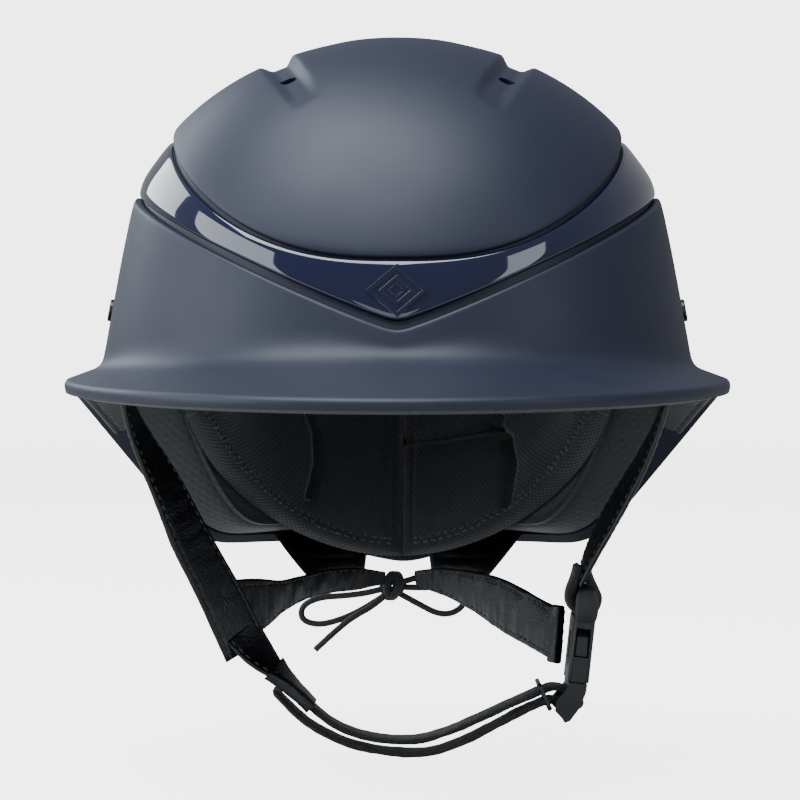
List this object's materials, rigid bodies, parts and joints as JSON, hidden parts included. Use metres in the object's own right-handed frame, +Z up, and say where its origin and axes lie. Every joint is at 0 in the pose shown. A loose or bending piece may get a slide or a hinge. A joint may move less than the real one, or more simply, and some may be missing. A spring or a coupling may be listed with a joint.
{
  "type": "equestrian riding helmet",
  "caption": "Hard-shell riding helmet with a wide wraparound peak, a glossy halo band, padded liner and a buckled leather harness.",
  "frame": {"origin": "centre of the head opening at brow height, in the helmet's middle plane and half way along the shell at that height", "axes": "+Z up, the wearer faces -Y, +X is the wearer's left"},
  "size_m": [0.2378, 0.299, 0.2605],
  "materials": {
    "shell": "matt navy soft-touch coat",
    "halo": "high gloss navy",
    "foam": "expanded polystyrene",
    "cover": "textured grey-black",
    "pad": "quilted mesh",
    "leather": "smooth synthetic leather",
    "webbing": "woven webbing",
    "lace": "round braided lace",
    "buckle": "fine-grained acetal",
    "rivet": "black satin"
  },
  "bodies": {
    "helmet": {"outer_shell": "shell", "halo_band": "halo", "badge": "halo", "impact_liner": "foam", "liner_cover": "cover", "peak_lining": "cover", "brow_pad": "pad", "rear_pad_left": "pad", "rear_pad_right": "pad", "crown_pad": "pad", "side_rivets": "rivet", "nape_rivets": "rivet", "rivet_washers": "rivet", "front_strap_left": "leather", "front_strap_right": "leather", "rear_strap_left": "leather", "rear_strap_right": "leather", "nape_tab_left": "leather", "nape_tab_right": "leather", "lace_knot": "lace", "lace_crossing": "lace", "lace_loop_left": "lace", "lace_loop_right": "lace", "lace_tail": "lace"},
    "chin": {"chin_strap": "leather", "chin_strap_sleeve": "leather", "strap_loop_right": "webbing", "buckle_socket": "buckle"},
    "insert": {"buckle_insert": "buckle", "chin_strap_end": "leather"},
    "arm_front": {"latch_arm_front": "buckle"},
    "arm_rear": {"latch_arm_rear": "buckle"},
    "keeper": {"strap_keeper": "rivet"}
  },
  "joints": [
    {"name": "chin_swing", "type": "hinge", "parent": "helmet", "child": "chin", "pos_m": [-0.055, 0.009, -0.09], "axis": [0.978, 0, 0.2084], "range_deg": [-40, 15]},
    {"name": "buckle_release", "type": "slide", "parent": "chin", "child": "insert", "axis": [-0.109, 0, -0.994], "range_m": [0, 0.02], "deforming": ["latch_arm_front", "latch_arm_rear"]},
    {"name": "latch_front_press", "type": "hinge", "parent": "insert", "child": "arm_front", "pos_m": [0.06547, 0.00155, -0.1023], "axis": [-0.994, 0, 0.109], "range_deg": [0, 11], "stiffness_Nm_per_rad": 0.05},
    {"name": "latch_rear_press", "type": "hinge", "parent": "insert", "child": "arm_rear", "pos_m": [0.06547, 0.01645, -0.1023], "axis": [0.994, 0, -0.109], "range_deg": [0, 11], "stiffness_Nm_per_rad": 0.05},
    {"name": "keeper_slide", "type": "slide", "parent": "insert", "child": "keeper", "axis": [-0.9144, 0, -0.4049], "range_m": [0, 0.006]}
  ]
}
